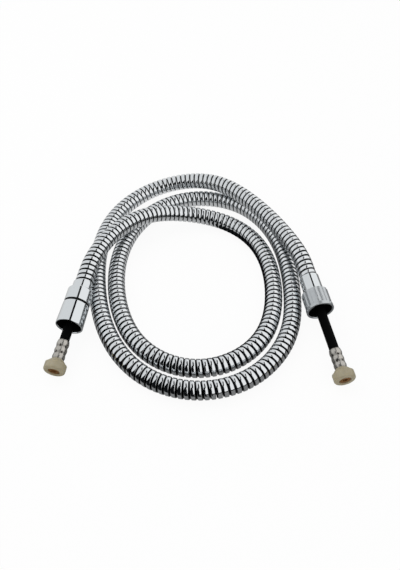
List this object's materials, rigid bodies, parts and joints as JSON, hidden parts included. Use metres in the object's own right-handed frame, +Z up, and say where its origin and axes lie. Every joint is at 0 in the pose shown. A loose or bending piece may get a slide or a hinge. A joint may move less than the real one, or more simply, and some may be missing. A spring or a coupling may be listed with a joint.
{
  "type": "shower hose",
  "caption": "Flexible ribbed metal shower hose in loose loops, with a conical swivel nut, a fluted union nut and the black inner tube drawn out of both ends.",
  "frame": {"origin": "on the surface that the hose lies on, at the middle of the whole lay", "axes": "+Z up from the surface, +X across the lay towards the fluted nut, +Y away from the two ends"},
  "size_m": [0.2559, 0.271, 0.0346],
  "materials": {
    "stainless_casing": "bright polished stainless strip, folded and wound",
    "chromed_brass": "mirror chrome on turned brass",
    "satin_chrome": "chrome with a slightly dull sheen",
    "spring_steel": "plain",
    "black_rubber": "matt extruded EPDM",
    "black_nylon": "moulded",
    "ivory_nylon": "moulded",
    "crimped_ferrule": "crimped, slightly dull",
    "brass_core": "turned, darkened by water",
    "moulded_flange": "translucent ivory moulding"
  },
  "bodies": {
    "root": {"hose_casing": "stainless_casing", "inner_tube": "black_rubber", "left_sleeve": "chromed_brass", "left_casing_bush": "spring_steel", "left_swivel_ring": "black_nylon", "left_clip": "spring_steel", "left_tube_end": "black_rubber", "right_sleeve": "chromed_brass", "right_casing_bush": "spring_steel", "right_clip": "spring_steel", "right_tube_end": "black_rubber"},
    "left_nut": {"left_nut": "chromed_brass"},
    "left_tube": {"left_ferrule": "crimped_ferrule", "left_core": "brass_core", "left_flange": "moulded_flange"},
    "right_slip": {"right_slip_ring": "ivory_nylon"},
    "right_nut": {"right_nut": "satin_chrome"},
    "right_tube": {"right_ferrule": "crimped_ferrule", "right_core": "brass_core", "right_flange": "moulded_flange"}
  },
  "joints": [
    {"name": "left_nut_spin", "type": "hinge", "parent": "root", "child": "left_nut", "pos_m": [-0.10936, -0.05721, 0.0177], "axis": [-0.1799, -0.9707, -0.1592], "continuous": true},
    {"name": "left_tube_slide", "type": "slide", "parent": "root", "child": "left_tube", "axis": [0.1799, 0.9707, 0.1592], "range_m": [0, 0.0514], "deforming": ["left_tube_end"]},
    {"name": "right_nut_slide", "type": "slide", "parent": "root", "child": "right_slip", "axis": [-0.1891, 0.973, 0.1321], "range_m": [-0.0055, 0.01]},
    {"name": "right_nut_spin", "type": "hinge", "parent": "right_slip", "child": "right_nut", "pos_m": [0.10409, -0.04199, 0.01949], "axis": [0.1891, -0.973, -0.1321], "continuous": true},
    {"name": "right_tube_slide", "type": "slide", "parent": "root", "child": "right_tube", "axis": [-0.1891, 0.973, 0.1321], "range_m": [0, 0.0679], "deforming": ["right_tube_end"]}
  ]
}
